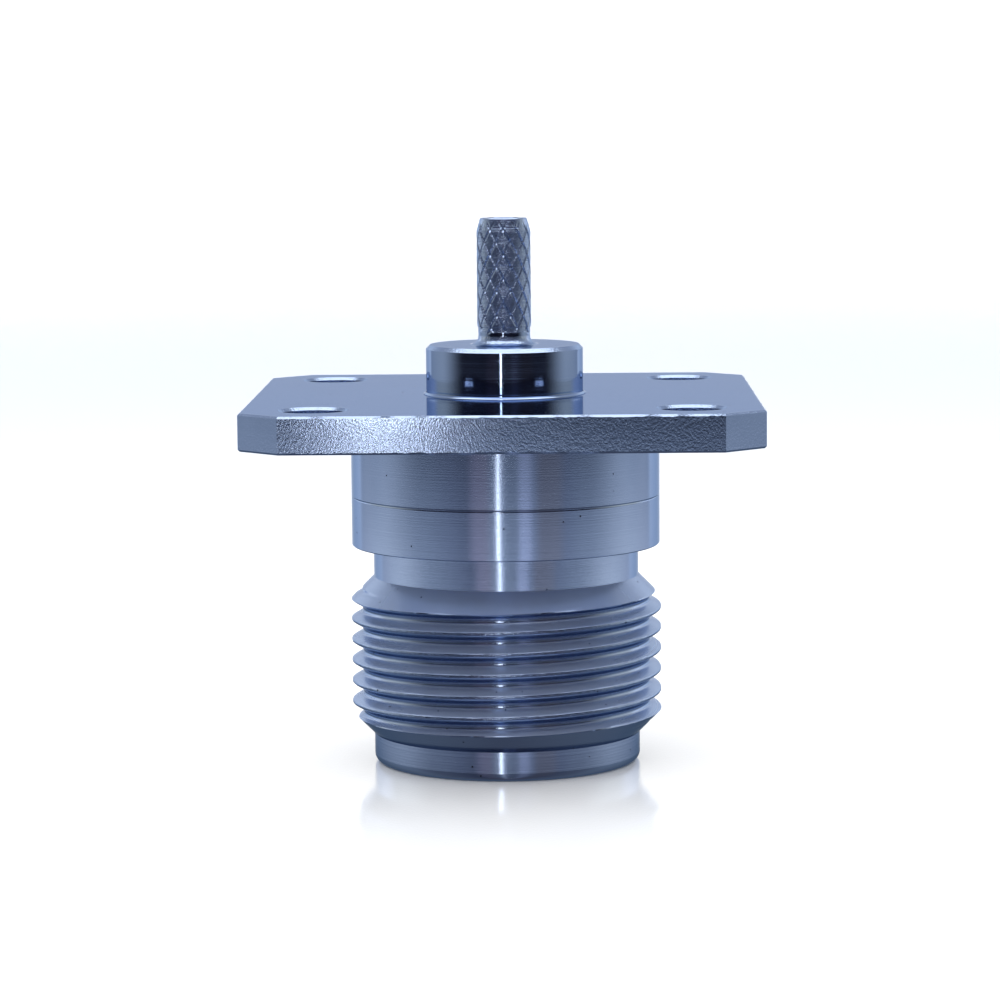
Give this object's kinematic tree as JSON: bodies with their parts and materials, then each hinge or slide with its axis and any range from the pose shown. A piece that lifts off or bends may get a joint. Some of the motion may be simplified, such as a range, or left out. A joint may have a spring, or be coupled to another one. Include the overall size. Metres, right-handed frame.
{
  "type": "coaxial panel connector",
  "caption": "Threaded coaxial panel jack with a square drilled flange, a slotted centre contact in a deep socket and a knurled crimp stem for thin cable.",
  "frame": {"origin": "centre of the socket's front rim, the ring that the part stands on", "axes": "+Z along the axis, from the socket's rim through the flange to the tip of the crimp stem; X and Y parallel to the sides of the flange"},
  "size_m": [0.0254, 0.0254, 0.0277],
  "materials": {
    "shell_plating": "bright nickel plate, finely turned",
    "stem_plating": "bright nickel plate",
    "insulator": "smooth white",
    "contact_plating": "gold plate"
  },
  "bodies": {
    "root": {"shell": "shell_plating", "crimp_bushing": "stem_plating", "front_insulator": "insulator", "rear_insulator": "insulator", "centre_contact": "contact_plating"}
  },
  "joints": []
}
